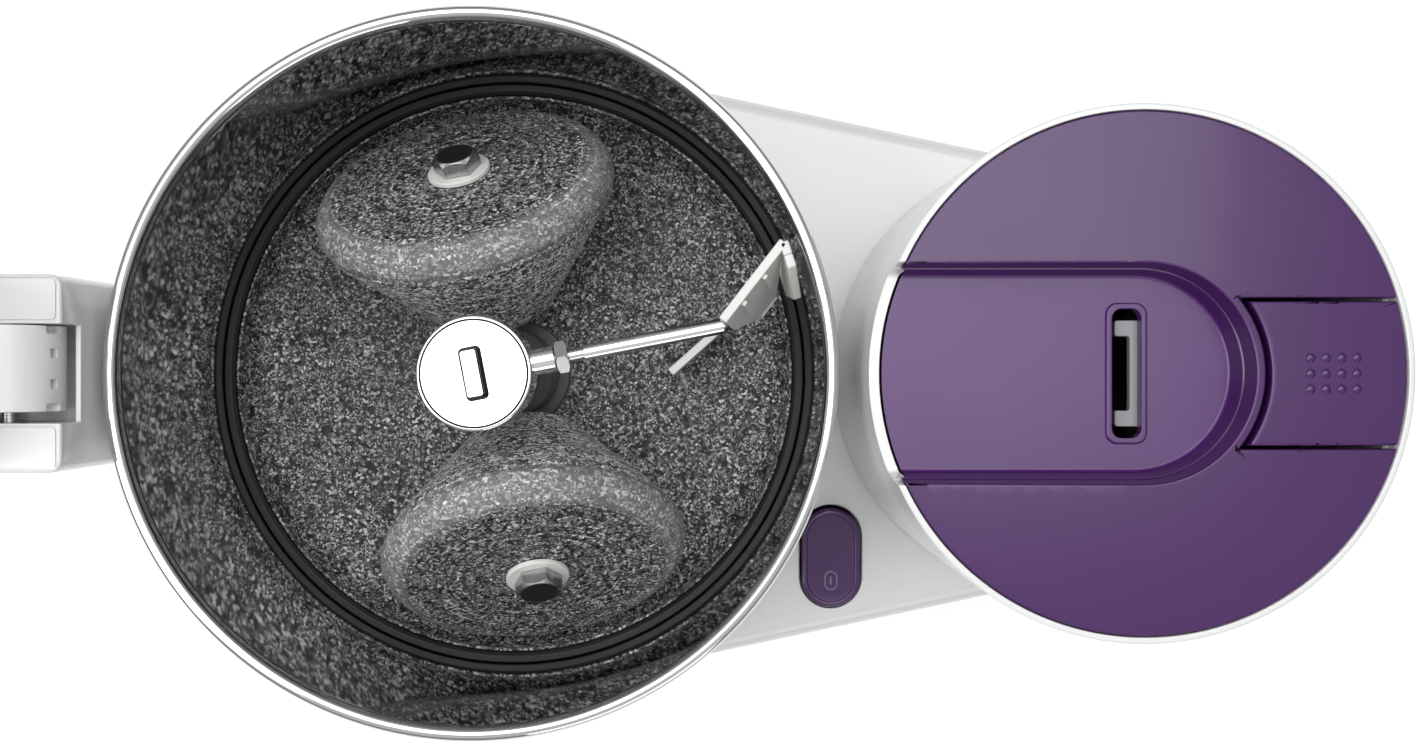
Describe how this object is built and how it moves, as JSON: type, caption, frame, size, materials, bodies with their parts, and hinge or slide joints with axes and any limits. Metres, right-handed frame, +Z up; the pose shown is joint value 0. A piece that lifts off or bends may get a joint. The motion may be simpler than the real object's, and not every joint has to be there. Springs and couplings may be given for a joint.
{
  "type": "wet grinder",
  "caption": "Table-top wet grinder: stainless drum with granite floor, two conical granite rollers, nylon scraper, lock arm and purple-capped motor tower.",
  "frame": {"origin": "middle of the bounding box's footprint, on the table under the feet", "axes": "+Z up, +X from the drum towards the motor tower, +Y to the back, away from the switch"},
  "size_m": [0.5381, 0.2458, 0.5779],
  "materials": {
    "white_plastic": "glossy moulded plastic",
    "pale_plastic": "satin moulded plastic",
    "purple_plastic": "glossy moulded plastic",
    "dark_plastic": "satin",
    "black_plastic": "satin",
    "grey_plastic": "satin",
    "nylon": "satin",
    "black_rubber": "matte",
    "stainless": "polished stainless steel",
    "chrome_plate": "polished",
    "steel": "machined",
    "cast_aluminium": "as cast",
    "copper": "enamelled copper wire",
    "granite": "honed, speckled",
    "roller_granite": "turned, speckled"
  },
  "bodies": {
    "base": {"body_shell": "white_plastic", "drum_well": "white_plastic", "base_plate": "dark_plastic", "hinge_post": "white_plastic", "bearing_housing": "cast_aluminium", "bearing_upper": "steel", "bearing_lower": "steel", "spindle_seal": "black_rubber", "drive_belt": "black_rubber", "foot_1": "black_rubber", "foot_2": "black_rubber", "foot_3": "black_rubber", "foot_4": "black_rubber", "hinge_pin": "steel", "run_capacitor": "cast_aluminium", "switch_body": "black_plastic", "cord_grommet": "black_rubber", "tower_shell": "white_plastic", "tower_cap": "purple_plastic", "motor_stator": "steel", "motor_winding": "copper", "motor_end_lower": "cast_aluminium", "motor_end_upper": "cast_aluminium", "motor_plate": "cast_aluminium", "button_spring": "steel"},
    "switch": {"switch_rocker": "purple_plastic"},
    "button": {"release_button": "purple_plastic"},
    "latch": {"latch_slide": "grey_plastic"},
    "rotor": {"motor_shaft": "steel", "motor_rotor_core": "cast_aluminium", "motor_fan": "black_plastic", "motor_pulley": "steel"},
    "drive": {"spindle": "steel", "drive_pulley": "black_plastic", "drive_coupler": "steel"},
    "drum": {"drum_shell": "stainless", "drum_coupler": "cast_aluminium", "stone_base": "granite", "seal_ring": "black_rubber", "centre_post": "steel"},
    "bush": {"centre_bush": "nylon"},
    "hub": {"hub_body": "dark_plastic", "hub_cap": "chrome_plate", "scraper_socket": "chrome_plate", "scraper_lock_nut": "steel", "scraper_rod": "stainless", "scraper_blade": "nylon", "axle_1": "steel", "axle_nut_1": "stainless", "axle_2": "steel", "axle_nut_2": "stainless"},
    "roller_1": {"roller_stone_1": "roller_granite", "roller_bush_1": "nylon"},
    "roller_2": {"roller_stone_2": "roller_granite", "roller_bush_2": "nylon"},
    "arm": {"arm_shell": "white_plastic", "arm_top_cover": "white_plastic", "arm_knuckle": "pale_plastic", "lug_socket": "dark_plastic", "latch_tongue": "steel"}
  },
  "joints": [
    {"name": "drum_spin", "type": "hinge", "parent": "base", "child": "drive", "pos_m": [-0.02023, 0, 0.045], "axis": [0, 0, 1], "continuous": true},
    {"name": "motor_spin", "type": "hinge", "parent": "base", "child": "rotor", "pos_m": [0.18627, 0, 0.085], "axis": [0, 0, 1], "continuous": true},
    {"name": "drum_lift", "type": "slide", "parent": "drive", "child": "drum", "axis": [0, 0, 1], "range_m": [0, 0.15]},
    {"name": "stones_lift", "type": "slide", "parent": "drum", "child": "bush", "axis": [0, 0, 1], "range_m": [0, 0.13]},
    {"name": "hub_spin", "type": "hinge", "parent": "bush", "child": "hub", "pos_m": [-0.02023, 0, 0.14], "axis": [0, 0, 1], "continuous": true},
    {"name": "roller_spin_1", "type": "hinge", "parent": "hub", "child": "roller_1", "pos_m": [-0.0208, 0.00295, 0.0933], "axis": [-0.1544, 0.7942, 0.5878], "continuous": true},
    {"name": "roller_spin_2", "type": "hinge", "parent": "hub", "child": "roller_2", "pos_m": [-0.01966, -0.00295, 0.0933], "axis": [0.1544, -0.7942, 0.5878], "continuous": true},
    {"name": "arm_hinge", "type": "hinge", "parent": "base", "child": "arm", "pos_m": [-0.16023, 0, 0.2145], "axis": [0, -1, 0], "range_deg": [-105, 0]},
    {"name": "button_press", "type": "slide", "parent": "base", "child": "button", "axis": [0, 0, -1], "range_m": [0, 0.003], "stiffness_N_per_m": 400, "springref_m": -0.002, "deforming": ["button_spring"]},
    {"name": "latch_travel", "type": "slide", "parent": "base", "child": "latch", "axis": [1, 0, 0], "range_m": [0, 0.003]},
    {"name": "switch_rock", "type": "hinge", "parent": "base", "child": "switch", "pos_m": [0.10214, -0.07074, 0.101], "axis": [1, 0, 0], "range_deg": [-8, 0]}
  ],
  "couplings": [
    {"joint": "motor_spin", "follows": "drum_spin", "ratio": 8.6667},
    {"joint": "hub_spin", "follows": "drum_spin", "ratio": -1},
    {"joint": "roller_spin_1", "follows": "drum_spin", "ratio": 1.78},
    {"joint": "roller_spin_2", "follows": "drum_spin", "ratio": 1.78},
    {"joint": "latch_travel", "follows": "button_press", "ratio": 1}
  ]
}
